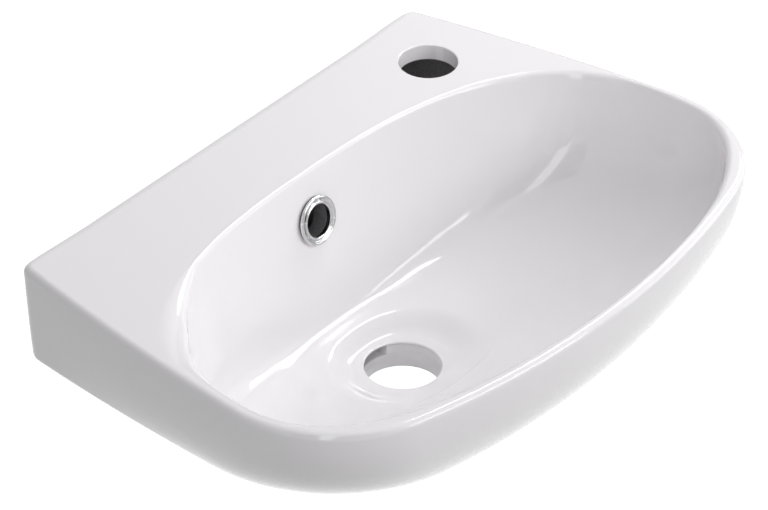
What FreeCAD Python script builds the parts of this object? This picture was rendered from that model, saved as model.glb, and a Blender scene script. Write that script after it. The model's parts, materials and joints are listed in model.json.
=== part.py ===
"""Small wall-hung washbasin: a glazed ceramic body and the chromed insert in its overflow hole.

Frame: the wall is the plane y = 0 and the front faces -Y, with +X to the user's right and +Z up.
The origin lies on the wall, midway between the two fixing holes. Lengths are in millimetres.
"""

import math
import os

import FreeCAD
import Part

# Overall outline
WIDTH = 404.0
DEPTH = 288.0
SIDE_TAPER = 30.0
BACK_WIDTH = WIDTH - 2 * SIDE_TAPER
SIDE_RADIUS = 1480.0
CORNER_SHARE = 0.404
FRONT_RADIUS = 524.0
BACK_CORNER_RADIUS = 11.0
TOP_EDGE_RADIUS = 4.5
BACK_EDGE_RADIUS = 10.0

# Outer hull
HULL_DEPTH = 116.0
HULL_TRIM = 1.5
HULL_BOTTOM = HULL_DEPTH - HULL_TRIM
HULL_SIDE_POWER = 2.47
HULL_FRONT_POWER = 2.07
CORNER_GROWTH = 2.5
SKIRT_HEIGHT = 68.3
SKIRT_DRAFT = 4.0
SKIRT_WALL = 12.0
SKIRT_EDGE_RADIUS = 6.0
SKIRT_EDGE_TURN = 67.0
DECK_THICKNESS = 10.0
BACK_PLATE = 10.0

# Bowl
RIM_SIDE = 8.0
RIM_FRONT = 8.8
BOWL_HALF_WIDTH = WIDTH / 2 - RIM_SIDE
BOWL_BACK = 67.0
BOWL_FRONT = DEPTH - RIM_FRONT
BOWL_MIDDLE = 189.0
BOWL_DEPTH = 97.0
BOWL_SIDE_POWER = 2.6
BOWL_FRONT_POWER = 2.3
BOWL_BACK_POWER = 18.0
BOWL_BACK_TILT = 12.0
BOWL_WALL = 10.0
RIM_RADIUS = 3.0
RIM_START = 45.0
RIM_ROUNDNESS_BACK = 2.65
RIM_ROUNDNESS_FRONT = 2.65
FLOOR_SQUARENESS = 2.2

# Drain
DRAIN_Y = -138.7
DRAIN_RADIUS = 22.5
DRAIN_LIP = 1.0
DISH_RISE = 3.0
DISH_FALL = 6.7
DISH_START = BOWL_DEPTH - DISH_RISE
DRAIN_DROP = BOWL_DEPTH + DISH_FALL
DISH_FLATNESS = 0.3
DISH_EDGE = 0.5
DISH_BLEND = 0.1
BOSS_RADIUS = 36.0
BOSS_TAPER = 4.0
BOSS_LENGTH = 17.5

# Tap hole
TAP_FROM_SIDE = 38.0
TAP_X = BACK_WIDTH / 2 - TAP_FROM_SIDE
TAP_Y = -48.3
TAP_RADIUS = 17.5
TAP_CHAMFER = 1.2

# Wall fixing holes
FIX_SPACING = 180.0
FIX_DROP = 38.0
FIX_RADIUS = 7.0

# Overflow hole and its channel down to the drain
OVERFLOW_DROP = 30.5
OVERFLOW_RADIUS = 12.5
CHANNEL_WALL = 8.0
CHANNEL_GAP = 10.0
CHANNEL_SHELL = 6.0
CHANNEL_WIDTH = 24.0
CHANNEL_OUTLET = 6.0

# Overflow insert
RING_RADIUS = 15.0
RING_BORE = 9.9
RING_FLANGE = 2.2
RING_ROUNDING = 0.8
RING_BARREL_WALL = 1.0
RING_BARREL_LENGTH = 11.0
SEAL_THICKNESS = 0.6
SEAL_MARGIN = 0.8
SLEEVE_LENGTH = 8.0
FIT_GAP = 0.3

# Steps round each half of an oval of the bowl
OVAL_STEPS = 24
# Sections of the smooth surfaces, as degrees round an edge or as shares of a depth
EDGE_ANGLES = (0.0, 22.5, 45.0, 67.5)
SKIRT_SECTIONS = (0.0, 0.18, 0.36, 0.54, 0.7, 0.82, 0.9, 0.95, 1.0)
LOWER_SECTIONS = (0.18, 0.38, 0.58, 0.76, 0.88, 0.95, 1.0)
BOWL_SECTIONS = (0.0, 0.06, 0.16, 0.29, 0.42, 0.55, 0.67, 0.77, 0.84, 0.88, 0.91, 0.94, 0.97)
DISH_SECTIONS = (0.0, 0.2, 0.35, 0.45, 0.55, 0.68, 0.84, 1.0)
SHELL_SECTIONS = (0.0, 0.15, 0.3, 0.45, 0.58, 0.7, 0.8, 0.88, 0.94, 0.98, 1.0)
# The hull is drawn this far into the wall and cut off flat there
BACK_TRIM = 0.8
OUT_OF_THE_WAY = 60.0


def vec(x, y, z):
    return FreeCAD.Vector(x, y, z)


def superellipse(share, power):
    """Remaining width at a share of the depth, both from 0 to 1."""
    return (1.0 - share**power) ** (1.0 / power)


# Outer outline at one height, seen from above
def outline_circles(half_back, half_max, depth, corner):
    """Centres of the side, front corner and front arcs, which meet smoothly."""
    front = FRONT_RADIUS * half_max / (WIDTH / 2)
    corner_x = half_max - corner
    corner_y = front - depth - math.sqrt((front - corner) ** 2 - corner_x**2)
    reach = math.hypot(half_back - corner_x, corner_y)
    along = (SIDE_RADIUS**2 - (SIDE_RADIUS - corner) ** 2 + reach**2) / (2 * reach)
    across = math.sqrt(SIDE_RADIUS**2 - along**2)
    ux = (corner_x - half_back) / reach
    uy = corner_y / reach
    side_x = half_back + along * ux + across * uy
    side_y = along * uy - across * ux
    return (side_x, side_y), (corner_x, corner_y), (0.0, front - depth), front


def arc_edge(centre, radius, start, end, z):
    """Arc from one angle to another, in radians."""
    points = []
    for angle in (start, (start + end) / 2, end):
        points.append(vec(centre[0] + radius * math.cos(angle), centre[1] + radius * math.sin(angle), z))
    return Part.Arc(*points).toShape()


def outline_wire(z, half_back, half_max, depth, corner, inset=0.0, back=0.0):
    """Closed outline with its straight back on y = back - inset."""
    side, front_corner, front_middle, front = outline_circles(half_back, half_max, depth, corner)
    small = BACK_CORNER_RADIUS
    small_x = side[0] + math.sqrt((SIDE_RADIUS - small) ** 2 - (small + side[1]) ** 2)
    back_corner = (small_x, -small)
    a_side = math.atan2(back_corner[1] - side[1], back_corner[0] - side[0])
    a_corner = math.atan2(front_corner[1] - side[1], front_corner[0] - side[0])
    a_front = math.atan2(front_corner[1] - front_middle[1], front_corner[0] - front_middle[0])
    right = [
        arc_edge(back_corner, small - inset, math.pi / 2, a_side, z),
        arc_edge(side, SIDE_RADIUS - inset, a_side, a_corner, z),
        arc_edge(front_corner, corner - inset, a_corner, a_front, z),
    ]
    left = []
    for edge in reversed(right):
        left.append(edge.mirror(vec(0, 0, 0), vec(1, 0, 0)))
    front_arc = arc_edge(front_middle, front - inset, a_front, -math.pi - a_front, z)
    back_line = Part.makeLine(vec(-small_x, -inset, z), vec(small_x, -inset, z))
    wire = Part.Wire(Part.__sortEdges__([back_line] + right + [front_arc] + left))
    wire.translate(vec(0, back, 0))
    return wire


# Sizes of the hull at one depth below the deck
def hull_half_width(depth):
    return WIDTH / 2 * superellipse(depth / HULL_DEPTH, HULL_SIDE_POWER)


def hull_front(depth):
    reach = DEPTH + DRAIN_Y
    return reach * superellipse(depth / HULL_DEPTH, HULL_FRONT_POWER) - DRAIN_Y


def hull_corner(depth):
    share = depth / HULL_DEPTH
    return hull_half_width(depth) * (CORNER_SHARE + (1 - CORNER_SHARE) * share**CORNER_GROWTH)


def hull_half_back(depth):
    """Half width at the wall: drafted skirt, rounded lower edge, then a steep run inwards."""
    turn = math.radians(SKIRT_EDGE_TURN)
    start = SKIRT_HEIGHT - SKIRT_EDGE_RADIUS * math.sin(turn)
    drafted = BACK_WIDTH / 2 - depth * math.tan(math.radians(SKIRT_DRAFT))
    if depth <= start:
        return drafted
    if depth <= SKIRT_HEIGHT:
        return drafted - SKIRT_EDGE_RADIUS + math.sqrt(SKIRT_EDGE_RADIUS**2 - (depth - start) ** 2)
    return hull_half_back(SKIRT_HEIGHT) - (depth - SKIRT_HEIGHT) * math.tan(turn)


def hull_wire(depth, inset=0.0):
    return outline_wire(
        -depth,
        hull_half_back(depth),
        hull_half_width(depth),
        hull_front(depth) + BACK_TRIM,
        hull_corner(depth),
        inset,
        BACK_TRIM,
    )


def make_wall_cutter():
    """Everything behind the basin: the wall, and what the rounded back top edge leaves out."""
    left = -(WIDTH + OUT_OF_THE_WAY) / 2
    radius = BACK_EDGE_RADIUS
    middle = radius * math.sqrt(0.5) - radius
    rounding = Part.Arc(vec(left, 0, -radius), vec(left, middle, middle), vec(left, -radius, 0)).toShape()
    corners = [
        vec(left, -radius, 0),
        vec(left, -radius, OUT_OF_THE_WAY),
        vec(left, OUT_OF_THE_WAY, OUT_OF_THE_WAY),
        vec(left, OUT_OF_THE_WAY, -HULL_DEPTH - OUT_OF_THE_WAY),
        vec(left, 0, -HULL_DEPTH - OUT_OF_THE_WAY),
        vec(left, 0, -radius),
    ]
    edges = [rounding] + Part.makePolygon(corners).Edges
    return Part.Face(Part.Wire(edges)).extrude(vec(WIDTH + OUT_OF_THE_WAY, 0, 0))


def make_hull():
    """Outer shape, full behind, with the top edge rounded."""
    wires = []
    for angle in EDGE_ANGLES:
        turn = math.radians(angle)
        depth = TOP_EDGE_RADIUS * (1 - math.cos(turn))
        wires.append(hull_wire(depth, TOP_EDGE_RADIUS * (1 - math.sin(turn))))
    for share in SKIRT_SECTIONS:
        wires.append(hull_wire(TOP_EDGE_RADIUS + share * (SKIRT_HEIGHT - TOP_EDGE_RADIUS)))
    for share in LOWER_SECTIONS:
        wires.append(hull_wire(SKIRT_HEIGHT + share * (HULL_BOTTOM - SKIRT_HEIGHT)))
    return Part.makeLoft(wires, True, False).cut(make_wall_cutter())


# Ovals of the bowl
def oval_wire(z, half_width, back, front, middle, round_back, round_front):
    """Closed oval in two halves: half_width at y = middle, from y = back to y = front."""
    points = []
    for step in range(2 * OVAL_STEPS):
        angle = math.pi * step / OVAL_STEPS
        c = math.cos(angle)
        s = math.sin(angle)
        power = round_back if s > 0 else round_front
        reach = (back - middle) if s > 0 else (middle - front)
        x = half_width * math.copysign(abs(c) ** (2 / power), c)
        y = middle + reach * math.copysign(abs(s) ** (2 / power), s)
        points.append(vec(x, y, z))
    points[OVAL_STEPS].y = middle
    curve = Part.BSplineCurve()
    curve.interpolate(Points=points, PeriodicFlag=True)
    half_way = curve.parameter(points[OVAL_STEPS])
    edges = []
    for start, end in ((curve.FirstParameter, half_way), (half_way, curve.LastParameter)):
        half = curve.copy()
        half.segment(start, end)
        edges.append(half.toShape())
    return Part.Wire(edges)


def bowl_back(depth, wall=0.0, floor=BOWL_DEPTH):
    """Y of the back wall at a depth: a tilted plane that rounds into the floor."""
    reach = -BOWL_BACK + wall - DRAIN_Y - depth * math.tan(math.radians(BOWL_BACK_TILT))
    return DRAIN_Y + reach * superellipse(depth / floor, BOWL_BACK_POWER)


def bowl_front(depth):
    reach = BOWL_FRONT + DRAIN_Y
    return DRAIN_Y - reach * superellipse(depth / BOWL_DEPTH, BOWL_FRONT_POWER)


def bowl_half_width(depth):
    return BOWL_HALF_WIDTH * superellipse(depth / BOWL_DEPTH, BOWL_SIDE_POWER)


def bowl_middle(depth):
    return DRAIN_Y - (BOWL_MIDDLE + DRAIN_Y) * superellipse(depth / BOWL_DEPTH, 2.0)


def bowl_roundness(depth):
    """Powers of the oval behind and in front: squarest behind, just above the floor."""
    share = depth / BOWL_DEPTH
    fade = 1 - share**4
    square = FLOOR_SQUARENESS * share**3 * (1 - share**16)
    return 2 + (RIM_ROUNDNESS_BACK - 2) * fade + square, 2 + (RIM_ROUNDNESS_FRONT - 2) * fade


def bowl_wire(depth, z, outset=0.0):
    """Oval of the bowl wall at a depth, drawn at height z and grown by outset."""
    round_back, round_front = bowl_roundness(depth)
    return oval_wire(
        z,
        bowl_half_width(depth) + outset,
        bowl_back(depth) + outset,
        bowl_front(depth) - outset,
        bowl_middle(depth),
        round_back,
        round_front,
    )


def dish_drop(share):
    """Share of the drop to the drain: nearly flat as far as the dish's edge, then steeper."""

    def bend(along):
        return (along + math.hypot(along, DISH_BLEND)) / 2

    start = bend(-DISH_EDGE)
    steep = (bend(share - DISH_EDGE) - start) / (bend(1 - DISH_EDGE) - start)
    return DISH_FLATNESS * share + (1 - DISH_FLATNESS) * steep


def dish_wire(share):
    """Oval between the bowl floor and the round drain, with share from 0 to 1."""
    end = DRAIN_RADIUS + DRAIN_LIP

    def mixed(start, finish):
        return start + (finish - start) * share

    z = -DISH_START - (DRAIN_DROP - DISH_START) * dish_drop(share)
    round_back, round_front = bowl_roundness(DISH_START)
    return oval_wire(
        z,
        mixed(bowl_half_width(DISH_START), end),
        mixed(bowl_back(DISH_START), DRAIN_Y + end),
        mixed(bowl_front(DISH_START), DRAIN_Y - end),
        mixed(bowl_middle(DISH_START), DRAIN_Y),
        mixed(round_back, 2.0),
        mixed(round_front, 2.0),
    )


def make_bowl_space():
    """The room inside the bowl, flared at the rim and ending at the drain."""
    wires = []
    first = math.radians(RIM_START)
    lift = RIM_RADIUS / 2
    flare = RIM_RADIUS * (1 - math.sin(first))
    wires.append(bowl_wire(0.0, lift, flare + (lift + RIM_RADIUS * (1 - math.cos(first))) / math.tan(first)))
    for angle in (RIM_START, (RIM_START + 90) / 2):
        turn = math.radians(angle)
        wires.append(bowl_wire(0.0, -RIM_RADIUS * (1 - math.cos(turn)), RIM_RADIUS * (1 - math.sin(turn))))
    wall = DISH_START - RIM_RADIUS
    for share in BOWL_SECTIONS:
        depth = RIM_RADIUS + share * wall
        wires.append(bowl_wire(depth, -depth))
    for share in DISH_SECTIONS:
        wires.append(dish_wire(share))
    return Part.makeLoft(wires, True, False)


def bowl_shell_wire(depth, z):
    """Oval that is the bowl's outer face behind and lies outside the hull in front."""
    return oval_wire(
        z,
        hull_half_width(depth) + SKIRT_WALL / 2,
        bowl_back(depth, BOWL_WALL, HULL_DEPTH),
        -hull_front(depth) - SKIRT_WALL / 2,
        bowl_middle(min(depth, DISH_START)),
        RIM_ROUNDNESS_BACK,
        RIM_ROUNDNESS_FRONT,
    )


def make_hollow():
    """The space under the deck and behind the bowl, open below."""
    hollow = Part.makeBox(
        WIDTH + OUT_OF_THE_WAY,
        DEPTH,
        OUT_OF_THE_WAY,
        vec(-(WIDTH + OUT_OF_THE_WAY) / 2, OUT_OF_THE_WAY - DEPTH, -SKIRT_HEIGHT - OUT_OF_THE_WAY),
    )
    wires = []
    for depth in (DECK_THICKNESS, SKIRT_HEIGHT / 2, SKIRT_HEIGHT + 1):
        wires.append(
            outline_wire(
                -depth,
                hull_half_back(min(depth, SKIRT_HEIGHT / 2)) - SKIRT_WALL,
                hull_half_width(depth) - SKIRT_WALL,
                hull_front(depth) - BACK_PLATE - SKIRT_WALL,
                hull_corner(depth),
                back=-BACK_PLATE,
            )
        )
    hollow = hollow.fuse(Part.makeLoft(wires, True, False))
    shells = []
    for share in SHELL_SECTIONS:
        depth = share * HULL_BOTTOM
        shells.append(bowl_shell_wire(depth, -depth))
    shells.append(bowl_shell_wire(HULL_BOTTOM, -HULL_BOTTOM - OUT_OF_THE_WAY))
    return hollow.cut(Part.makeLoft(shells, True, False))


# Overflow channel, drawn in the plane x = 0 and given its width
def slab(points, width):
    """Solid from a closed outline of (y, depth) points, centred on x = 0."""
    corners = [vec(-width / 2, y, -depth) for y, depth in points]
    face = Part.Face(Part.makePolygon(corners + corners[:1]))
    return face.extrude(vec(width, 0, 0))


def behind_wall(depth, distance):
    """Y of a line that runs parallel to the bowl's back wall, a distance behind it."""
    slope = math.radians(BOWL_BACK_TILT)
    return -BOWL_BACK - depth * math.tan(slope) + distance / math.cos(slope)


def channel_outline(front, rear, top, bottom_rear, outlet_top, outlet_bottom, end):
    """Outline of the channel: down behind the bowl wall, then forward under the floor to the drain."""
    knee = BOWL_DEPTH
    return [
        (behind_wall(top, front), top),
        (behind_wall(top, rear), top),
        (behind_wall(knee, rear), knee),
        (bottom_rear, outlet_bottom),
        (end, outlet_bottom),
        (end, outlet_top),
        (behind_wall(knee, front), knee + (outlet_top - knee) / 2),
        (behind_wall(knee - CHANNEL_GAP, front), knee - CHANNEL_GAP),
    ]


def make_channel_shell():
    rear = CHANNEL_WALL + CHANNEL_GAP + CHANNEL_SHELL
    bottom = DRAIN_DROP + CHANNEL_SHELL + CHANNEL_OUTLET + CHANNEL_WALL / 2
    points = channel_outline(
        CHANNEL_WALL / 2,
        rear,
        DECK_THICKNESS / 2,
        behind_wall(BOWL_DEPTH, rear) - CHANNEL_GAP,
        DRAIN_DROP,
        bottom,
        DRAIN_Y + BOSS_RADIUS - BOSS_TAPER,
    )
    return slab(points, CHANNEL_WIDTH + 2 * CHANNEL_SHELL)


def make_channel_space():
    rear = CHANNEL_WALL + CHANNEL_GAP
    outlet = DRAIN_DROP + CHANNEL_SHELL / 2
    points = channel_outline(
        CHANNEL_WALL,
        rear,
        OVERFLOW_DROP - OVERFLOW_RADIUS,
        behind_wall(BOWL_DEPTH, rear) - CHANNEL_GAP,
        outlet,
        outlet + CHANNEL_OUTLET,
        DRAIN_Y + DRAIN_RADIUS / 2,
    )
    return slab(points, CHANNEL_WIDTH)


def overflow_axis():
    """Centre of the overflow hole on the bowl's wall and the direction into the bowl."""
    slope = math.radians(BOWL_BACK_TILT)
    centre = vec(0, behind_wall(OVERFLOW_DROP, 0.0), -OVERFLOW_DROP)
    return centre, vec(0, -math.cos(slope), math.sin(slope))


def tube(inner, outer, start, end):
    """Tube on the overflow axis, between two distances from the wall, positive into the bowl."""
    centre, out = overflow_axis()
    base = centre + out * start
    solid = Part.makeCylinder(outer, end - start, base, out)
    if inner > 0:
        solid = solid.cut(Part.makeCylinder(inner, end - start, base, out))
    return solid


def make_holes():
    """Tap hole, drain hole, fixing holes and overflow hole."""
    tap = Part.makeCylinder(TAP_RADIUS, 2 * DECK_THICKNESS, vec(TAP_X, TAP_Y, -2 * DECK_THICKNESS + 1))
    edge = Part.makeCone(
        TAP_RADIUS, TAP_RADIUS + 2 * TAP_CHAMFER, 2 * TAP_CHAMFER, vec(TAP_X, TAP_Y, -TAP_CHAMFER)
    )
    drain = Part.makeCylinder(DRAIN_RADIUS, OUT_OF_THE_WAY, vec(0, DRAIN_Y, -DRAIN_DROP - OUT_OF_THE_WAY / 2))
    holes = [tap, edge, drain]
    for side in (-1, 1):
        start = vec(side * FIX_SPACING / 2, -BACK_PLATE - 1, -FIX_DROP)
        holes.append(Part.makeCylinder(FIX_RADIUS, BACK_PLATE + 2, start, vec(0, 1, 0)))
    holes.append(tube(0.0, OVERFLOW_RADIUS, -CHANNEL_WALL - CHANNEL_GAP / 2, CHANNEL_WALL))
    return holes


def make_basin_body():
    body = make_hull().cut(make_hollow())
    boss = Part.makeCone(
        BOSS_RADIUS,
        BOSS_RADIUS + BOSS_TAPER,
        BOSS_LENGTH + BOSS_TAPER,
        vec(0, DRAIN_Y, -DRAIN_DROP - BOSS_LENGTH),
    )
    body = body.fuse(boss).fuse(make_channel_shell()).cut(make_channel_space())
    for hole in make_holes():
        body = body.cut(hole)
    return body.cut(make_bowl_space()).removeSplitter()


# Overflow insert
def make_overflow_trim_ring():
    """Flange with a rounded face, and a thin barrel that goes into the hole."""
    base = SEAL_THICKNESS + 2 * FIT_GAP
    flange = tube(RING_BORE, RING_RADIUS, base, base + RING_FLANGE)
    barrel = tube(RING_BORE, RING_BORE + RING_BARREL_WALL, base - RING_BARREL_LENGTH, base)
    ring = flange.fuse(barrel).removeSplitter()
    centre, out = overflow_axis()
    top = base + RING_FLANGE
    rounded = []
    for edge in ring.Edges:
        if abs((edge.CenterOfMass - centre).dot(out) - top) < FIT_GAP / 2 and edge.Closed:
            rounded.append(edge)
    return ring.makeFillet(RING_FLANGE * RING_ROUNDING, rounded)


def make_overflow_seal():
    inner = RING_BORE + RING_BARREL_WALL + FIT_GAP
    return tube(inner, RING_RADIUS - SEAL_MARGIN, FIT_GAP, FIT_GAP + SEAL_THICKNESS)


def make_overflow_grip_sleeve():
    inner = RING_BORE + RING_BARREL_WALL
    return tube(inner, OVERFLOW_RADIUS - FIT_GAP, -SLEEVE_LENGTH, 0.0)


def main():
    os.makedirs("parts", exist_ok=True)
    pieces = {
        "basin_body": make_basin_body(),
        "overflow_trim_ring": make_overflow_trim_ring(),
        "overflow_seal": make_overflow_seal(),
        "overflow_grip_sleeve": make_overflow_grip_sleeve(),
    }
    for name, shape in pieces.items():
        shape.translate(vec(0, 0, FIX_DROP))
        shape.exportStep(f"parts/{name}.step")
        print(name, len(shape.Solids), "solids, valid", shape.isValid(), round(shape.Volume / 1000, 2), "cm3")


if __name__ == "__main__":
    main()
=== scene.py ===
"""Looks of a small wall-hung washbasin: glazed body, chromed overflow insert, studio light and camera.

Everything is in metres in the part's own frame: the wall is y = 0, the front faces -Y and +Z is up.
Depths are measured down from the rear shelf, which is the top of the basin.
"""

import json
import math

import bmesh
import bpy
import numpy as np
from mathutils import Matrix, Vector


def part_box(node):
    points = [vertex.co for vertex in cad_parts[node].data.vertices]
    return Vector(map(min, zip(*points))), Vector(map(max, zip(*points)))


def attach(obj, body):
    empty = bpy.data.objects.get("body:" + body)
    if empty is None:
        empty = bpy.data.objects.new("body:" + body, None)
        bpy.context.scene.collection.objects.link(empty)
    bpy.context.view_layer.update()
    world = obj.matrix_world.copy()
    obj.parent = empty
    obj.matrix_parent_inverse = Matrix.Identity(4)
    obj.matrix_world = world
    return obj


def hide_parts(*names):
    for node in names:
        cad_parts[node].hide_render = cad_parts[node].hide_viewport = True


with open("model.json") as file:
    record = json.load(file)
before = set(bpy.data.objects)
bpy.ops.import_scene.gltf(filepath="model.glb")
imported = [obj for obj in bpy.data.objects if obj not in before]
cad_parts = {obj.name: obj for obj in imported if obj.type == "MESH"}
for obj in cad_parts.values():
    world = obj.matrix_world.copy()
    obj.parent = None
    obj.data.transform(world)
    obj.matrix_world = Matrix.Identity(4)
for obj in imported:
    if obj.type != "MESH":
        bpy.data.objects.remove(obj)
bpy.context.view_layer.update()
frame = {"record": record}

MM = 0.001
MOUNTS = {mount["name"]: mount for mount in frame["record"]["mounts"]}

# Overall outline
BODY_LOW, BODY_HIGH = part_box("basin_body")
SHELF_Z = BODY_HIGH.z
WIDTH = BODY_HIGH.x - BODY_LOW.x
DEPTH = -BODY_LOW.y
HEIGHT = BODY_HIGH.z - BODY_LOW.z
SIDE_TAPER = 30 * MM
SIDE_RADIUS = 1480 * MM
FRONT_RADIUS = 524 * MM
CORNER_SHARE = 0.404
CORNER_GROWTH = 2.5
BACK_CORNER_RADIUS = 11 * MM

# Rounded top edges
FRONT_EDGE_RADIUS = 4.4 * MM
SIDE_EDGE_RADIUS = 4.6 * MM
BACK_EDGE_RADIUS = 10 * MM
CORNER_EDGE_RADIUS = 8 * MM
BACK_EDGE_FADE = 0.3
EDGE_END = 1.4 * BACK_EDGE_RADIUS

# Outer hull
HULL_DEPTH = 116 * MM
HULL_END = 110 * MM
HULL_SIDE_POWER = 2.47
HULL_FRONT_POWER = 2.07
SKIRT_HEIGHT = 68.3 * MM
SKIRT_DRAFT = math.radians(4)
SKIRT_WALL = 12 * MM
SKIRT_EDGE_RADIUS = 6 * MM
SKIRT_EDGE_TURN = math.radians(67)
SHELF_THICKNESS = 10 * MM
BACK_PLATE = 10 * MM

# Bowl, with the thickness of the rim beside and before it
SIDE_RIM = 8 * MM
FRONT_RIM = 8.8 * MM
BOWL_HALF_WIDTH = WIDTH / 2 - SIDE_RIM
BOWL_BACK = 67 * MM
BOWL_FRONT = DEPTH - FRONT_RIM
BOWL_MIDDLE = 189 * MM
BOWL_DEPTH = 97 * MM
BOWL_SIDE_POWER = 2.6
BOWL_FRONT_POWER = 2.3
BOWL_BACK_POWER = 18.0
BOWL_BACK_TILT = math.radians(12)
BOWL_WALL = 10 * MM
# Rim at directions in degrees, from front to back: its inner rounding's width and height and its lean, in mm
RIM_WIDTH, RIM_HEIGHT, RIM_LEAN = range(3)
RIM_PLACES = (-90, -45, 0, 26, 46)
RIM_FRONT = (4.2, 6, 0)
RIM_BACK = (2.2, 2.2, 0)
RIM_LEFT = (RIM_FRONT, (8, 8, 3), (9, 7, 4), (16, 8, 9), RIM_BACK)
RIM_RIGHT = (RIM_FRONT, (5, 7, 0), (4, 5, 0), (4, 5, 0), RIM_BACK)
# Depth at which the lean has faded out, and the share of the rim that its inner rounding may take
LEAN_DEPTH = 85 * MM
RIM_ROOM = 0.9
# Powers of the bowl's ovals, from a plain ellipse upwards, and of their change with the depth
ELLIPSE = 2.0
RIM_ROUNDNESS_BACK = 2.65
RIM_ROUNDNESS_FRONT = 2.3
RIM_ROUNDNESS_FADE = 4
FLOOR_SQUARENESS = 2.2
FLOOR_SQUARENESS_RISE = 3
FLOOR_SQUARENESS_FALL = 16
# Sections as shares of the way down from the rim to the dish
BOWL_SECTIONS = (0.0, 0.06, 0.16, 0.29, 0.42, 0.55, 0.67, 0.77, 0.84, 0.88, 0.91, 0.94, 0.97)

# Drain, its boss and the dish round it
DRAIN_Y = MOUNTS["waste_hole"]["pos_m"][1]
DRAIN_RADIUS = MOUNTS["waste_hole"]["dims"]["r_mm"] * MM
DRAIN_LIP = 1 * MM
DRAIN_GROOVE = 2.5 * MM
# Shares of the bore's length and of the groove's depth
GROOVE_SECTIONS = ((0.1, 0.5), (0.18, 0.9), (0.26, 1.0), (0.46, 1.0), (0.52, 0.8), (0.68, 0.1), (0.75, 0.0))
BOSS_LENGTH = MOUNTS["waste_hole"]["dims"]["length_mm"] * MM
BOSS_RADIUS = 36 * MM
BOSS_TAPER = 4 * MM
BOSS_EDGE = 1 * MM
BOSS_EDGE_BREAK = 0.3
BOSS_SECTIONS = (0.3, 0.6, 0.9)
BOSS_FOOT = 1.2
DRAIN_DROP = HEIGHT - BOSS_LENGTH
DISH_START = 94 * MM
# Dish: its even share of the fall behind, its step's start and width, and where the step fades in front
DISH_FLATNESS = 0.4
DISH_EDGE = 0.44
DISH_WIDTH = 0.42
DISH_TURN = 0.1
DISH_FADE = 0.8
# Sections as shares of the way in from the floor to the drain
DISH_SECTIONS = (0.0, 0.2, 0.35, 0.45, 0.52, 0.6, 0.68, 0.76, 0.84, 0.92, 1.0)

# Tap hole and wall fixing holes
TAP_X, TAP_Y = MOUNTS["tap_hole"]["pos_m"][:2]
TAP_RADIUS = MOUNTS["tap_hole"]["dims"]["r_mm"] * MM
TAP_EDGE_RADIUS = 0.7 * MM
TAP_EDGE_ANGLES = (20, 40, 60, 80)
FIX_SPACING = MOUNTS["wall_fixings"]["dims"]["spacing_x_mm"] * MM
FIX_RADIUS = MOUNTS["wall_fixings"]["dims"]["hole_r_mm"] * MM
FIX_DROP = SHELF_Z - MOUNTS["wall_fixings"]["pos_m"][2]

# Overflow hole, its channel and its insert
OVERFLOW_DROP = 30.5 * MM
OVERFLOW_RADIUS = 12.5 * MM
CHANNEL_WALL = 8 * MM
CHANNEL_GAP = 10 * MM
CHANNEL_SHELL = 6 * MM
CHANNEL_WIDTH = 24 * MM
CHANNEL_OUTLET = 6 * MM
RING_RADIUS = 15 * MM
RING_BORE = 9.9 * MM
RING_FLANGE = 2.2 * MM
RING_LIP = 1.7 * MM
RING_GROOVE = 1.2 * MM
# Arcs of the ring's lip and bead: start and end in degrees, and steps
LIP_ARC = (180, -20, 12)
BEAD_ARC = (160, -62, 18)
RING_BARREL_WALL = 1 * MM
RING_BARREL_LENGTH = 11 * MM
SEAL_THICKNESS = 0.6 * MM
SEAL_MARGIN = 0.8 * MM
SLEEVE_LENGTH = 8 * MM
TUBE_EDGE = 0.15 * MM
FIT_GAP = 0.3 * MM

# Cutters: how far they reach past what they cut
CUT_MARGIN = 2 * MM
BAY_MARGIN = 1 * MM
HOLLOW_MARGIN = 60 * MM

# Mesh density: steps along the half outline's back, back corner, side, front corner and front
OUTLINE_STEPS = (36, 10, 56, 64, 40)
# Steps down the skirt, round its lower edge and on below it
HULL_STEPS = (17, 11, 21)
EDGE_STEPS = 10
EDGE_END_STEPS = 4
RIM_STEPS = 10
DRAIN_LIP_STEPS = 4
RINGS_PER_SECTION = 5
BAY_RINGS = 14
SHELL_RINGS = 40
LATHE_STEPS = 96
SHARP_ANGLE = math.radians(35)
SHADING_WEIGHT = 90

# Camera: direction from the object, distance and the point looked at
CAMERA_AZIMUTH = math.radians(-50.638)
CAMERA_ELEVATION = math.radians(35.084)
CAMERA_DISTANCE = 3.3694
CAMERA_TARGET = Vector((-0.0358, -0.154, SHELF_Z))
CAMERA_LENS = 281.25
CAMERA_RANGE = 100.0
SENSOR_WIDTH = 36.0

# Colours, each from its darker to its lighter end
GLAZE_TINT = ((0.9, 0.882, 0.9), (0.915, 0.897, 0.915))
# Painted shade: the dark grey below stands in for the shadow inside the bay under the shelf
BAY_SHADE_TINT = ((0.155, 0.15, 0.15), (0.22, 0.215, 0.215))
CHROME_TINT = ((0.66, 0.668, 0.67), (0.7, 0.708, 0.71))
PLASTIC_TINT = ((0.13, 0.127, 0.132), (0.18, 0.177, 0.182))
SEAL_TINT = ((0.03, 0.03, 0.032), (0.045, 0.045, 0.048))
SLEEVE_TINT = ((0.04, 0.04, 0.043), (0.06, 0.06, 0.0645))
DARK_CLOTH = ((0.012, 0.012, 0.013), (0.025, 0.025, 0.027))
GREY_CLOTH = ((0.6, 0.59, 0.6), (0.66, 0.65, 0.66))
TINT_ENDS = (0.3, 0.7)
# Share of a wall's thickness at which the painted shade inside the bay starts
BAY_SHADE_START = 0.97

# Studio
AMBIENT = 0.328
FLOOR_DROP = 0.75
FLOOR_SIZE = 12.0
FLOOR_TONE = 0.8
FLOOR_GLOW = 0.65
FLOOR_BOUNCE = 0.4
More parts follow.
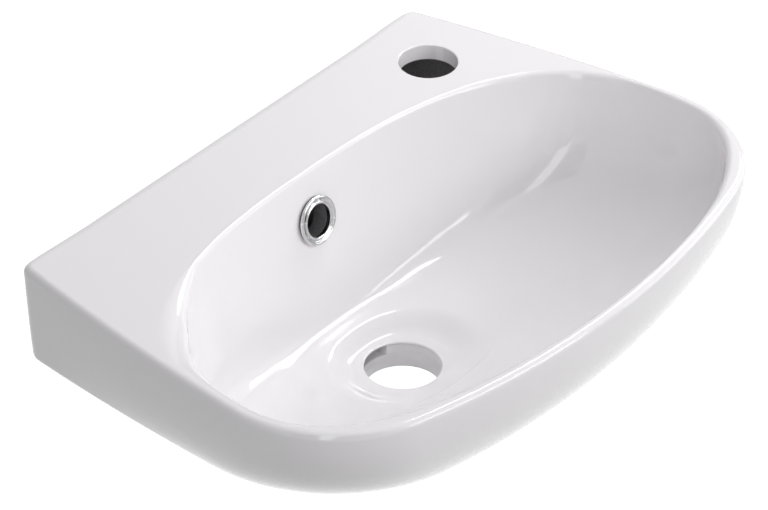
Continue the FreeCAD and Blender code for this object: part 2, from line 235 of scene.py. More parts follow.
# Lamps: azimuth and elevation in degrees, distance, width, height and power in watts
LAMPS = {
    "key": (97, 46, 1.3, 0.22, 0.9, 8.4),
    "strip": (-58, 27, 2.6, 0.45, 3.2, 14.8),
    "front": (20, 25, 2.6, 1.6, 1.0, 22.5),
    "low": (55, 5, 2.6, 1.2, 0.8, 7.0),
}
# Backdrops: azimuth and elevation in degrees, distance, width, height and cloth
CARDS = {
    "dark_backdrop": (-50, 35, 4.4, 5.0, 4.0, DARK_CLOTH),
    "grey_backdrop": (112, 4, 4.4, 2.4, 3.4, GREY_CLOTH),
}


# Shared shape formulas, all on arrays
def superellipse(share, power):
    """Remaining width at a share of the depth, both from 0 to 1."""
    return (1 - np.clip(share, 0, 1) ** power) ** (1 / power)


def hull_half_width(depth):
    return WIDTH / 2 * superellipse(depth / HULL_DEPTH, HULL_SIDE_POWER)


def hull_front(depth):
    reach = DEPTH + DRAIN_Y
    return reach * superellipse(depth / HULL_DEPTH, HULL_FRONT_POWER) - DRAIN_Y


def hull_corner(depth):
    share = np.clip(depth / HULL_DEPTH, 0, 1)
    return hull_half_width(depth) * (CORNER_SHARE + (1 - CORNER_SHARE) * share**CORNER_GROWTH)


def hull_half_back(depth):
    """Half width at the wall: drafted skirt, rounded lower edge, then a steep run inwards."""
    start = SKIRT_HEIGHT - SKIRT_EDGE_RADIUS * math.sin(SKIRT_EDGE_TURN)
    drafted = WIDTH / 2 - SIDE_TAPER - np.minimum(depth, SKIRT_HEIGHT) * math.tan(SKIRT_DRAFT)
    into_edge = np.clip(depth, start, SKIRT_HEIGHT) - start
    rounded = SKIRT_EDGE_RADIUS - np.sqrt(SKIRT_EDGE_RADIUS**2 - into_edge**2)
    below = np.maximum(depth - SKIRT_HEIGHT, 0) * math.tan(SKIRT_EDGE_TURN)
    return drafted - rounded - below


# Columns of the outline: which arc each one is on, how far along it, and on which side
def make_columns():
    arcs = []
    shares = []
    for arc, steps in enumerate(OUTLINE_STEPS):
        arcs += [arc] * steps
        shares += [step / steps for step in range(steps)]
    arcs.append(len(OUTLINE_STEPS) - 1)
    shares.append(1.0)
    arcs = np.array(arcs)
    shares = np.array(shares)
    mirrored = slice(-2, 0, -1)
    sides = np.concatenate([np.ones(len(arcs)), -np.ones(len(arcs) - 2)])
    return np.concatenate([arcs, arcs[mirrored]]), np.concatenate([shares, shares[mirrored]]), sides


ARCS, SHARES, SIDES = make_columns()
COLUMNS = len(ARCS)


def outline(half_back, half_max, depth, corner, inset=0.0, back=0.0):
    """X and Y of every column on an outline of arcs that meet smoothly, drawn in by inset."""
    front = FRONT_RADIUS * half_max / (WIDTH / 2)
    corner_x = half_max - corner
    corner_y = front - depth - np.sqrt((front - corner) ** 2 - corner_x**2)
    reach = np.hypot(half_back - corner_x, corner_y)
    along = (SIDE_RADIUS**2 - (SIDE_RADIUS - corner) ** 2 + reach**2) / (2 * reach)
    across = np.sqrt(SIDE_RADIUS**2 - along**2)
    ux = (corner_x - half_back) / reach
    uy = corner_y / reach
    side_x = half_back + along * ux + across * uy
    side_y = along * uy - across * ux
    small = BACK_CORNER_RADIUS
    small_x = side_x + np.sqrt((SIDE_RADIUS - small) ** 2 - (small + side_y) ** 2)
    a_side = np.arctan2(-small - side_y, small_x - side_x)
    a_corner = np.arctan2(corner_y - side_y, corner_x - side_x)
    a_front = np.arctan2(corner_y - front + depth, corner_x)
    ends = (
        (small_x, -small, small, math.pi / 2, a_side),
        (side_x, side_y, SIDE_RADIUS, a_side, a_corner),
        (corner_x, corner_y, corner, a_corner, a_front),
        (0 * front, front - depth, front, a_front, -math.pi / 2),
    )
    x = SHARES * small_x
    y = np.zeros(COLUMNS) - inset
    for arc, (cx, cy, radius, start, end) in enumerate(ends, start=1):
        angle = start + (end - start) * SHARES
        x = np.where(ARCS == arc, cx + (radius - inset) * np.cos(angle), x)
        y = np.where(ARCS == arc, cy + (radius - inset) * np.sin(angle), y)
    return x * SIDES, y + back


def hull_ring(depth, inset=0.0):
    """Points of the hull at a depth, which may differ from column to column."""
    depth = np.broadcast_to(np.asarray(depth, float), (COLUMNS,))
    x, y = outline(
        hull_half_back(depth),
        hull_half_width(depth),
        hull_front(depth),
        hull_corner(depth),
        inset,
    )
    return np.stack([x, y, SHELF_Z - depth], axis=1)


def smooth(share):
    """Share from 0 to 1 that starts and ends level."""
    share = np.clip(share, 0, 1)
    return share * share * (3 - 2 * share)


def edge_radii():
    """Radius of the rounded top edge at each column: large behind, small in front."""
    narrowing = smooth((SHARES - (1 - BACK_EDGE_FADE)) / BACK_EDGE_FADE)
    behind = BACK_EDGE_RADIUS + (CORNER_EDGE_RADIUS - BACK_EDGE_RADIUS) * narrowing
    corner = CORNER_EDGE_RADIUS + (SIDE_EDGE_RADIUS - CORNER_EDGE_RADIUS) * smooth(SHARES)
    side = SIDE_EDGE_RADIUS + (FRONT_EDGE_RADIUS - SIDE_EDGE_RADIUS) * smooth(SHARES)
    radii = np.where(ARCS == 0, behind, FRONT_EDGE_RADIUS)
    radii = np.where(ARCS == 1, corner, radii)
    return np.where(ARCS == 2, side, radii)


def outer_rings():
    """Rings from the shelf's edge over the rounded top and down the hull."""
    radii = edge_radii()
    rings = []
    for step in range(EDGE_STEPS + 1):
        turn = math.pi / 2 * step / EDGE_STEPS
        rings.append(hull_ring(radii * (1 - math.cos(turn)), radii * (1 - math.sin(turn))))
    for step in range(1, EDGE_END_STEPS + 1):
        rings.append(hull_ring(radii + step / EDGE_END_STEPS * (EDGE_END - radii)))
    ends = (EDGE_END, SKIRT_HEIGHT - SKIRT_EDGE_RADIUS, SKIRT_HEIGHT, HULL_END)
    for start, end, steps in zip(ends, ends[1:], HULL_STEPS):
        for depth in np.linspace(start, end, steps + 1)[1:]:
            rings.append(hull_ring(depth))
    return rings


# Bowl
def bowl_back(depth, wall=0.0, floor=BOWL_DEPTH):
    """Y of the back wall: a tilted plane that rounds into the floor."""
    reach = -BOWL_BACK + wall - DRAIN_Y - depth * math.tan(BOWL_BACK_TILT)
    return DRAIN_Y + reach * superellipse(depth / floor, BOWL_BACK_POWER)


def bowl_front(depth):
    reach = BOWL_FRONT + DRAIN_Y
    return DRAIN_Y - reach * superellipse(depth / BOWL_DEPTH, BOWL_FRONT_POWER)


def bowl_half_width(depth):
    return BOWL_HALF_WIDTH * superellipse(depth / BOWL_DEPTH, BOWL_SIDE_POWER)


def bowl_middle(depth):
    return DRAIN_Y - (BOWL_MIDDLE + DRAIN_Y) * superellipse(depth / BOWL_DEPTH, ELLIPSE)


def column_angles():
    """Direction of each column of the outline, seen from the middle of the bowl."""
    points = hull_ring(0.0, FRONT_EDGE_RADIUS)
    return np.arctan2(points[:, 1] + BOWL_MIDDLE, points[:, 0])


ANGLES = column_angles()


def oval_ring(section):
    """Points of an oval at the columns' directions, from its height, sizes and powers."""
    z, half_width, back, front, middle, power_back, power_front = section
    c = np.abs(np.cos(ANGLES))
    s = np.abs(np.sin(ANGLES))
    behind = np.sin(ANGLES) > 0
    reach = np.where(behind, back - middle, middle - front)
    power = np.where(behind, power_back, power_front)
    radius = ((c / half_width) ** power + (s / reach) ** power) ** (-1 / power)
    x = radius * np.cos(ANGLES)
    y = middle + radius * np.sin(ANGLES)
    return np.stack([x, y, np.full(COLUMNS, z)], axis=1)


def rim_size(index):
    """One of the rim's sizes at each column: small behind and on the right, soft on the left."""
    turned = np.degrees(np.arcsin(np.sin(ANGLES)))
    left = np.interp(turned, RIM_PLACES, [size[index] for size in RIM_LEFT])
    right = np.interp(turned, RIM_PLACES, [size[index] for size in RIM_RIGHT])
    return np.where(np.cos(ANGLES) < 0, left, right) * MM


def bowl_section(depth, outset=0.0):
    """Section of the bowl's wall at a depth, grown by outset, in the rows that oval_ring takes."""
    share = depth / BOWL_DEPTH
    fade = 1 - share**RIM_ROUNDNESS_FADE
    square = FLOOR_SQUARENESS * share**FLOOR_SQUARENESS_RISE * (1 - share**FLOOR_SQUARENESS_FALL)
    outset = outset - rim_size(RIM_LEAN) * (1 - smooth(depth / LEAN_DEPTH))
    rows = (
        SHELF_Z - depth,
        bowl_half_width(depth) + outset,
        bowl_back(depth) + outset,
        bowl_front(depth) - outset,
        bowl_middle(depth),
        ELLIPSE + (RIM_ROUNDNESS_BACK - ELLIPSE) * fade + square,
        ELLIPSE + (RIM_ROUNDNESS_FRONT - ELLIPSE) * fade,
    )
    return np.stack([np.broadcast_to(row, (COLUMNS,)) for row in rows])


def dish_drop(share):
    """Share of the drop to the drain at each column: an even fall, with a soft step behind and beside it."""
    even = DISH_FLATNESS + (1 - DISH_FLATNESS) * smooth((DISH_TURN - np.sin(ANGLES)) / DISH_FADE)
    return even * share + (1 - even) * smooth((share - DISH_EDGE) / DISH_WIDTH)


def dish_section(share):
    """Section between the bowl's floor and the round drain, with share from 0 to 1."""
    end = DRAIN_RADIUS + DRAIN_LIP
    floor = bowl_section(DISH_START)
    drain = np.array([0.0, end, DRAIN_Y + end, DRAIN_Y - end, DRAIN_Y, ELLIPSE, ELLIPSE])
    mixed = floor + (drain[:, None] - floor) * share
    mixed[0] = SHELF_Z - DISH_START - (DRAIN_DROP - DISH_START) * dish_drop(share)
    return mixed


def spline_sections(sections, per_section):
    """Sections on a smooth curve through the given ones."""
    sections = np.array(sections)
    padded = np.concatenate([[2 * sections[0] - sections[1]], sections, [2 * sections[-1] - sections[-2]]])
    result = []
    for index in range(len(sections) - 1):
        p0, p1, p2, p3 = padded[index : index + 4]
        for step in range(per_section):
            t = step / per_section
            result.append(
                0.5 * (2 * p1 + (p2 - p0) * t + (2 * p0 - 5 * p1 + 4 * p2 - p3) * t**2
                       + (3 * p1 - p0 - 3 * p2 + p3) * t**3)
            )
    result.append(sections[-1])
    return result


def rim_radii():
    """Width and height of the rim's inner rounding at each column, as far as the rim has room."""
    edge = hull_ring(0.0)
    apart = oval_ring(bowl_section(0.0))[:, None, :2] - edge[None, :, :2]
    room = np.min(np.hypot(apart[..., 0], apart[..., 1]) - edge_radii(), axis=1)
    return np.minimum(rim_size(RIM_WIDTH), RIM_ROOM * room), rim_size(RIM_HEIGHT)


def bowl_rings():
    """Rings from the shelf's inner edge over the rim, down the bowl and the dish, to the drain's bore."""
    rings = []
    across, down = rim_radii()
    for step in range(RIM_STEPS):
        turn = math.pi / 2 * step / RIM_STEPS
        rings.append(oval_ring(bowl_section(down * (1 - math.cos(turn)), across * (1 - math.sin(turn)))))
    sections = []
    for share in BOWL_SECTIONS:
        sections.append(bowl_section(down + share * (DISH_START - down)))
    for share in DISH_SECTIONS:
        sections.append(dish_section(share))
    for section in spline_sections(sections, RINGS_PER_SECTION):
        rings.append(oval_ring(section))
    return rings


def round_ring(radius, depth):
    """Ring round the drain's axis at the columns' directions."""
    section = (SHELF_Z - depth, radius, DRAIN_Y + radius, DRAIN_Y - radius, DRAIN_Y, ELLIPSE, ELLIPSE)
    return oval_ring(section)


def drain_rings():
    """Rings over the drain's lip, down its bore and up the boss to the hull."""
    rings = []
    for step in range(1, DRAIN_LIP_STEPS + 1):
        turn = math.pi / 2 * step / DRAIN_LIP_STEPS
        radius = DRAIN_RADIUS + DRAIN_LIP * (1 - math.sin(turn))
        rings.append(round_ring(radius, DRAIN_DROP + DRAIN_LIP * (1 - math.cos(turn))))
    for share, groove in GROOVE_SECTIONS:
        rings.append(round_ring(DRAIN_RADIUS + groove * DRAIN_GROOVE, DRAIN_DROP + share * BOSS_LENGTH))
    bottom = DRAIN_DROP + BOSS_LENGTH
    broken = BOSS_EDGE_BREAK * BOSS_EDGE
    rings.append(round_ring(DRAIN_RADIUS, bottom - BOSS_EDGE / 2))
    rings.append(round_ring(DRAIN_RADIUS + BOSS_EDGE / 2, bottom))
    rings.append(round_ring(BOSS_RADIUS - BOSS_EDGE, bottom))
    rings.append(round_ring(BOSS_RADIUS - broken, bottom - broken))
    rings.append(round_ring(BOSS_RADIUS, bottom - BOSS_EDGE))
    rise = bottom - HULL_END - 2 * BOSS_EDGE
    for share in BOSS_SECTIONS:
        rings.append(round_ring(BOSS_RADIUS + share * BOSS_TAPER, bottom - BOSS_EDGE - share * rise))
    rings.append(round_ring(BOSS_RADIUS + BOSS_FOOT * BOSS_TAPER, HULL_END + BOSS_EDGE / 2))
    return rings


# Mesh helpers
def mesh_object(name, points, faces):
    mesh = bpy.data.meshes.new(name)
    mesh.from_pydata([tuple(p) for p in points], [], faces)
    mesh.validate()
    obj = bpy.data.objects.new(name, mesh)
    bpy.context.scene.collection.objects.link(obj)
    recalculate_normals(obj)
    return obj


def recalculate_normals(obj):
    bm = bmesh.new()
    bm.from_mesh(obj.data)
    bmesh.ops.recalc_face_normals(bm, faces=bm.faces)
    bm.to_mesh(obj.data)
    bm.free()


def ring_object(name, rings, closed=False):
    """Mesh of quads between rings, joined end to start or closed by a face at each end."""
    count = len(rings[0])
    points = np.concatenate(rings)
    faces = []
    spans = len(rings) if closed else len(rings) - 1
    for ring in range(spans):
        low = ring * count
        high = (ring + 1) % len(rings) * count
        for i in range(count):
            j = (i + 1) % count
            faces.append((low + i, low + j, high + j, high + i))
    if not closed:
        last = (len(rings) - 1) * count
        faces.append(tuple(range(count)))
        faces.append(tuple(range(last, last + count)))
    return mesh_object(name, points, faces)


def circles(profile, centre, axis):
    """Rings about an axis through a centre, one for each (radius, distance along the axis)."""
    turn = Vector((0, 0, 1)).rotation_difference(axis).to_matrix()
    rings = []
    for radius, along in profile:
        ring = []
        for step in range(LATHE_STEPS):
            angle = 2 * math.pi * step / LATHE_STEPS
            spot = Vector((radius * math.cos(angle), radius * math.sin(angle), along))
            ring.append(tuple(centre + turn @ spot))
        rings.append(np.array(ring))
    return rings


def rod(name, radius, start, end):
    """Solid rod between two points, used as a cutter."""
    start = Vector(start)
    run = Vector(end) - start
    return ring_object(name, circles([(radius, 0.0), (radius, run.length)], start, run))


def slab(name, points, width):
    """Solid of a closed outline of (y, depth) points, centred on x = 0."""
    rings = []
    for x in (-width / 2, width / 2):
        rings.append(np.array([(x, y, SHELF_Z - depth) for y, depth in points]))
    return ring_object(name, rings)


def combine(obj, other, operation):
    """Joins or cuts obj with other, which is used up."""
    modifier = obj.modifiers.new("combine", "BOOLEAN")
    modifier.object = other
    modifier.operation = operation
    modifier.solver = "EXACT"
    graph = bpy.context.evaluated_depsgraph_get()
    mesh = bpy.data.meshes.new_from_object(obj.evaluated_get(graph))
    old = obj.data
    obj.modifiers.clear()
    obj.data = mesh
    bpy.data.meshes.remove(old)
    bpy.data.objects.remove(other)


def finish_shading(obj):
    """Smooth faces, sharp only where the surface really turns, with flat faces kept flat."""
    mesh = obj.data
    mesh.shade_smooth()
    mesh.set_sharp_from_angle(angle=SHARP_ANGLE)
    modifier = obj.modifiers.new("even_normals", "WEIGHTED_NORMAL")
    modifier.mode = "FACE_AREA"
    modifier.weight = SHADING_WEIGHT
    modifier.keep_sharp = True


# Body
def make_skin():
    """The whole outer surface as one closed run of rings: bowl, rim, shelf, hull, boss and bore."""
    rings = list(reversed(outer_rings()))
    rings += bowl_rings()
    rings += drain_rings()
    return ring_object("basin", rings, closed=True)


def bay_ring(depth):
    """Inner outline of the shelf's bay at a depth, a wall's thickness inside the hull."""
    depth = np.broadcast_to(np.asarray(depth, float), (COLUMNS,))
    x, y = outline(
        hull_half_back(np.minimum(depth, SKIRT_HEIGHT / 2)) - SKIRT_WALL,
        hull_half_width(depth) - SKIRT_WALL,
        hull_front(depth) - BACK_PLATE - SKIRT_WALL,
        hull_corner(depth),
        back=-BACK_PLATE,
    )
    return np.stack([x, y, SHELF_Z - depth], axis=1)


def shell_ring(depth, z_depth):
    """Oval that is the bowl's outer face behind and lies outside the hull in front."""
    section = (
        SHELF_Z - z_depth,
        hull_half_width(depth) + SKIRT_WALL / 2,
        bowl_back(depth, BOWL_WALL, HULL_DEPTH),
        -hull_front(depth) - SKIRT_WALL / 2,
        bowl_middle(min(depth, DISH_START)),
        RIM_ROUNDNESS_BACK,
        RIM_ROUNDNESS_FRONT,
    )
    return oval_ring(section)


def make_hollow():
    """The space under the shelf and behind the bowl, open below."""
    reach = HOLLOW_MARGIN
    half = WIDTH / 2 + reach
    low = SKIRT_HEIGHT + reach
    corners = [(half, reach), (half, reach - DEPTH), (-half, reach - DEPTH), (-half, reach)]
    box_rings = []
    for depth in (SKIRT_HEIGHT, low):
        box_rings.append(np.array([(x, y, SHELF_Z - depth) for x, y in corners]))
    hollow = ring_object("hollow", box_rings)
    depths = np.linspace(SHELF_THICKNESS, SKIRT_HEIGHT + BAY_MARGIN, BAY_RINGS)
    combine(hollow, ring_object("bay", [bay_ring(depth) for depth in depths]), "UNION")
    shells = [shell_ring(depth, depth) for depth in np.linspace(0, HULL_END, SHELL_RINGS)]
    shells.append(shell_ring(HULL_END, HULL_END + 2 * reach))
    combine(hollow, ring_object("bowl_shell", shells), "DIFFERENCE")
    return hollow


def behind_wall(depth, distance):
    """Y of a line parallel to the bowl's back wall, a distance behind it."""
    return -BOWL_BACK - depth * math.tan(BOWL_BACK_TILT) + distance / math.cos(BOWL_BACK_TILT)


def channel_outline(front, rear, top, bottom_rear, outlet_top, outlet_bottom, end):
    """Outline of the channel: down behind the bowl, then forward under the floor to the drain."""
    knee = BOWL_DEPTH
    return [
        (behind_wall(top, front), top),
        (behind_wall(top, rear), top),
        (behind_wall(knee, rear), knee),
        (bottom_rear, outlet_bottom),
        (end, outlet_bottom),
        (end, outlet_top),
        (behind_wall(knee, front), knee + (outlet_top - knee) / 2),
        (behind_wall(knee - CHANNEL_GAP, front), knee - CHANNEL_GAP),
    ]


def channel_shell():
    rear = CHANNEL_WALL + CHANNEL_GAP + CHANNEL_SHELL
    points = channel_outline(
        CHANNEL_WALL / 2,
        rear,
        SHELF_THICKNESS / 2,
        behind_wall(BOWL_DEPTH, rear) - CHANNEL_GAP,
        DRAIN_DROP,
        DRAIN_DROP + CHANNEL_SHELL + CHANNEL_OUTLET + CHANNEL_WALL / 2,
        DRAIN_Y + BOSS_RADIUS - BOSS_TAPER,
    )
    return slab("channel_shell", points, CHANNEL_WIDTH + 2 * CHANNEL_SHELL)


def channel_space():
    rear = CHANNEL_WALL + CHANNEL_GAP
    outlet = DRAIN_DROP + CHANNEL_SHELL / 2
    points = channel_outline(
        CHANNEL_WALL,
        rear,
        OVERFLOW_DROP - OVERFLOW_RADIUS,
        behind_wall(BOWL_DEPTH, rear) - CHANNEL_GAP,
        outlet,
        outlet + CHANNEL_OUTLET,
        DRAIN_Y + DRAIN_RADIUS / 2,
    )
    return slab("channel_space", points, CHANNEL_WIDTH)


def overflow_axis():
    """Centre of the overflow hole on the bowl's wall and the direction into the bowl."""
    centre = Vector((0, behind_wall(OVERFLOW_DROP, 0.0), SHELF_Z - OVERFLOW_DROP))
    return centre, Vector((0, -math.cos(BOWL_BACK_TILT), math.sin(BOWL_BACK_TILT)))


def tap_cutter():
    """Cutter for the tap hole, flared so that its upper edge is rounded."""
    profile = [(TAP_RADIUS, -2 * SHELF_THICKNESS), (TAP_RADIUS, -TAP_EDGE_RADIUS)]
    for angle in TAP_EDGE_ANGLES:
        turn = math.radians(angle)
        radius = TAP_RADIUS + TAP_EDGE_RADIUS * (1 - math.cos(turn))
        profile.append((radius, TAP_EDGE_RADIUS * (math.sin(turn) - 1)))
    top_radius, top = profile[-1]
    profile.append((top_radius + CUT_MARGIN * math.tan(turn), top + CUT_MARGIN))
    centre = Vector((TAP_X, TAP_Y, SHELF_Z))
    return ring_object("tap_cutter", circles(profile, centre, Vector((0, 0, 1))))


def make_body():
    body = make_skin()
    combine(body, make_hollow(), "DIFFERENCE")
    combine(body, channel_shell(), "UNION")
    combine(body, channel_space(), "DIFFERENCE")
    combine(body, tap_cutter(), "DIFFERENCE")
    for side in (-1, 1):
        x = side * FIX_SPACING / 2
        z = SHELF_Z - FIX_DROP
        cutter = rod("fixing_cutter", FIX_RADIUS, (x, -BACK_PLATE - CUT_MARGIN, z), (x, CUT_MARGIN, z))
        combine(body, cutter, "DIFFERENCE")
    centre, out = overflow_axis()
    back = centre - out * (CHANNEL_WALL + CHANNEL_GAP / 2)
    combine(body, rod("overflow_cutter", OVERFLOW_RADIUS, back, centre + out * CHANNEL_WALL), "DIFFERENCE")
    finish_shading(body)
    return body


# Overflow insert
def arc_profile(centre, radii, start, end, steps):
    """Points of an elliptic arc, with angles in degrees."""
    points = []
    for step in range(steps + 1):
        angle = math.radians(start + (end - start) * step / steps)
        points.append((centre[0] + radii[0] * math.cos(angle), centre[1] + radii[1] * math.sin(angle)))
    return points


def make_ring():
    """Chromed flange with a thin inner lip, a groove and a rounded outer bead, and the barrel behind it."""
    base = SEAL_THICKNESS + 2 * FIT_GAP
    top = base + RING_FLANGE
    barrel = RING_BORE + RING_BARREL_WALL
    lip = RING_LIP / 2
    bead = (RING_RADIUS - RING_BORE - RING_LIP) / 2 - RING_GROOVE / 2
    middle = base + RING_FLANGE / 2
    profile = [(RING_BORE, base - RING_BARREL_LENGTH)]
    profile.append((RING_BORE, base - RING_BARREL_LENGTH / 2))
    profile.append((RING_BORE, base))
    profile += arc_profile((RING_BORE + lip, top - lip), (lip, lip), *LIP_ARC)
    profile.append((RING_BORE + RING_LIP + RING_GROOVE / 2, middle))
    profile += arc_profile((RING_RADIUS - bead, middle), (bead, RING_FLANGE / 2), *BEAD_ARC)
    profile.append((RING_RADIUS - bead / 2 - RING_GROOVE, base))
    profile.append((barrel, base))
    profile.append((barrel, base - RING_BARREL_LENGTH))
    ring = ring_object("overflow_ring", circles(profile, *overflow_axis()), closed=True)
    finish_shading(ring)
    return ring


def make_tube(name, inner, outer, start, end):
    """Tube on the overflow's axis with its edges broken."""
    edge = min(TUBE_EDGE, (outer - inner) / 4, (end - start) / 4)
    profile = [
        (inner, start + edge),
        (inner, end - edge),
        (inner + edge, end),
        (outer - edge, end),
        (outer, end - edge),
        (outer, start + edge),
        (outer - edge, start),
        (inner + edge, start),
    ]
    tube = ring_object(name, circles(profile, *overflow_axis()), closed=True)
    finish_shading(tube)
    return tube


# Materials
def new_material(name):
    material = bpy.data.materials.new(name)
    material.use_nodes = True
    nodes = material.node_tree.nodes
    return material, nodes, material.node_tree.links, nodes["Principled BSDF"]


def noise(nodes, links, coordinates, scale, detail):
    texture = nodes.new("ShaderNodeTexNoise")
    texture.inputs["Scale"].default_value = scale
    texture.inputs["Detail"].default_value = detail
    links.new(coordinates.outputs["Object"], texture.inputs["Vector"])
    return texture.outputs["Fac"]


def ramp(nodes, links, source, tint):
    """Colour between the two ends of a tint, driven by a texture."""
    node = nodes.new("ShaderNodeValToRGB")
    for element, position, colour in zip(node.color_ramp.elements, TINT_ENDS, tint):
        element.position = position
        element.color = (*colour, 1)
    links.new(source, node.inputs["Fac"])
    return node.outputs["Color"]


def spread(nodes, links, source, low, high):
    """Value mapped from 0..1 to a range."""
    node = nodes.new("ShaderNodeMapRange")
    node.inputs["To Min"].default_value = low
    node.inputs["To Max"].default_value = high
    links.new(source, node.inputs["Value"])
    return node.outputs["Result"]


def bump(nodes, links, source, distance, strength, below=None):
    node = nodes.new("ShaderNodeBump")
    node.inputs["Distance"].default_value = distance
    node.inputs["Strength"].default_value = strength
    links.new(source, node.inputs["Height"])
    if below is not None:
        links.new(below, node.inputs["Normal"])
    return node.outputs["Normal"]


def compare(nodes, links, source, operation, limit):
    """1 where the source is on the asked side of a limit."""
    node = nodes.new("ShaderNodeMath")
    node.operation = operation
    node.inputs[1].default_value = limit
    links.new(source, node.inputs[0])
    return node.outputs["Value"]


def combine_values(nodes, links, operation, first, second):
    node = nodes.new("ShaderNodeMath")
    node.operation = operation
    links.new(first, node.inputs[0])
    links.new(second, node.inputs[1])
    return node.outputs["Value"]


def choose(nodes, links, kind, factor, first, second):
    """First where the factor is 0 and second where it is 1, both of a kind: FLOAT or RGBA."""
    node = nodes.new("ShaderNodeMix")
    node.data_type = kind
    links.new(factor, node.inputs["Factor"])
    links.new(first, node.inputs["A"])
    links.new(second, node.inputs["B"])
    return node.outputs["Result"]


def painted_shade_mask(nodes, links, place):
    """1 on the surfaces inside the bay under the shelf, where the glaze gets a painted dark grey shade, 0
    elsewhere.
    """
    split = nodes.new("ShaderNodeSeparateXYZ")
    links.new(place.outputs["Object"], split.inputs["Vector"])
    x, y, z = (split.outputs[axis] for axis in "XYZ")
    below = compare(nodes, links, z, "LESS_THAN", SHELF_Z - BAY_SHADE_START * SHELF_THICKNESS)
    above = compare(nodes, links, z, "GREATER_THAN", SHELF_Z - SKIRT_HEIGHT)
    inside = compare(nodes, links, y, "LESS_THAN", -BAY_SHADE_START * BACK_PLATE)
    width = nodes.new("ShaderNodeMath")
    width.operation = "ABSOLUTE"
    links.new(x, width.inputs[0])
    half_bay = WIDTH / 2 - SIDE_TAPER - SKIRT_WALL / 2
    between = compare(nodes, links, width.outputs["Value"], "LESS_THAN", half_bay)
    lean = nodes.new("ShaderNodeMath")
    lean.operation = "MULTIPLY_ADD"
    lean.inputs[1].default_value = -math.tan(BOWL_BACK_TILT)
    links.new(z, lean.inputs[0])
    links.new(y, lean.inputs[2])
    wall = behind_wall(SHELF_Z, CHANNEL_WALL / 2)
    behind = compare(nodes, links, lean.outputs["Value"], "GREATER_THAN", wall)
    mask = below
    for part in (above, inside, between, behind):
        mask = combine_values(nodes, links, "MULTIPLY", mask, part)
    return mask


def glaze():
    """White glaze with slow waves from the dip and a very fine peel, with a painted dark grey, matt shade
    inside the bay under the shelf.
    """
    material, nodes, links, shader = new_material("white_glaze")
    place = nodes.new("ShaderNodeTexCoord")
    drift = noise(nodes, links, place, scale=9.0, detail=3.0)
    waves = noise(nodes, links, place, scale=30.0, detail=2.0)
    peel = noise(nodes, links, place, scale=700.0, detail=2.0)
    # Painted shade: where this mask is 1, inside the bay, the glaze turns dark grey and matt in place of the
    # bay's shadow
    mask = painted_shade_mask(nodes, links, place)
    tint = ramp(nodes, links, drift, GLAZE_TINT)
    painted_shade = ramp(nodes, links, peel, BAY_SHADE_TINT)
    links.new(choose(nodes, links, "RGBA", mask, tint, painted_shade), shader.inputs["Base Color"])
    gloss = spread(nodes, links, waves, low=0.05, high=0.11)
    matt = combine_values(nodes, links, "MAXIMUM", gloss, mask)
    links.new(matt, shader.inputs["Roughness"])
    slow = bump(nodes, links, waves, distance=1.0 * MM, strength=0.3)
    fine = bump(nodes, links, peel, distance=0.05 * MM, strength=0.06, below=slow)
    links.new(fine, shader.inputs["Normal"])
    shader.inputs["IOR"].default_value = 1.5
    return material


def chrome():
    """Bright plating on the flange, and the bare dark plastic inside the barrel."""
    material, nodes, links, shader = new_material("chrome_plate")
    place = nodes.new("ShaderNodeTexCoord")
    centre, out = overflow_axis()
    along = nodes.new("ShaderNodeVectorMath")
    along.operation = "DOT_PRODUCT"
    along.inputs[1].default_value = out
    links.new(place.outputs["Object"], along.inputs[0])
    lip = centre.dot(out) + FIT_GAP
    plated = compare(nodes, links, along.outputs["Value"], "GREATER_THAN", lip)
    polish = noise(nodes, links, place, scale=400.0, detail=2.0)
    gloss = spread(nodes, links, polish, low=0.02, high=0.06)
    plastic = spread(nodes, links, polish, low=0.45, high=0.6)
    links.new(choose(nodes, links, "FLOAT", plated, plastic, gloss), shader.inputs["Roughness"])
    bare = ramp(nodes, links, polish, PLASTIC_TINT)
    bright = ramp(nodes, links, polish, CHROME_TINT)
    links.new(choose(nodes, links, "RGBA", plated, bare, bright), shader.inputs["Base Color"])
    links.new(plated, shader.inputs["Metallic"])
    return material


def rubber(name, tint):
    """Dark matt rubber with a fine grain."""
    material, nodes, links, shader = new_material(name)
    place = nodes.new("ShaderNodeTexCoord")
    grain = noise(nodes, links, place, scale=900.0, detail=4.0)
    links.new(ramp(nodes, links, grain, tint), shader.inputs["Base Color"])
    gloss = spread(nodes, links, grain, low=0.5, high=0.7)
    links.new(gloss, shader.inputs["Roughness"])
    rough = bump(nodes, links, grain, distance=0.05 * MM, strength=0.3)
    links.new(rough, shader.inputs["Normal"])
    return material


def dress(obj, material, body, node):
    """Gives a piece its material, the body that carries it and the node that it stands for."""
    obj.data.materials.clear()
    obj.data.materials.append(material)
    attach(obj, body)
    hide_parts(node)


def make_pieces():
    dress(make_body(), glaze(), "basin", "basin_body")
    dress(make_ring(), chrome(), "overflow_insert", "overflow_trim_ring")
    barrel = RING_BORE + RING_BARREL_WALL
    edge = RING_RADIUS - SEAL_MARGIN
    seal = make_tube("overflow_gasket", barrel + FIT_GAP, edge, FIT_GAP, FIT_GAP + SEAL_THICKNESS)
    seal_rubber = rubber("seal_rubber", SEAL_TINT)
    dress(seal, seal_rubber, "overflow_insert", "overflow_seal")
    sleeve = make_tube("overflow_sleeve", barrel, OVERFLOW_RADIUS - FIT_GAP, -SLEEVE_LENGTH, 0.0)
    sleeve_rubber = rubber("sleeve_rubber", SLEEVE_TINT)
    dress(sleeve, sleeve_rubber, "overflow_insert", "overflow_grip_sleeve")


# Studio
def background_factor(nodes, links):
    """1 for rays from the camera, and for mirror and glass rays; 0 for diffuse ones."""
    path = nodes.new("ShaderNodeLightPath")
    factor = path.outputs["Is Camera Ray"]
    for ray in ("Is Glossy Ray", "Is Transmission Ray"):
        factor = combine_values(nodes, links, "MAXIMUM", factor, path.outputs[ray])
    return factor


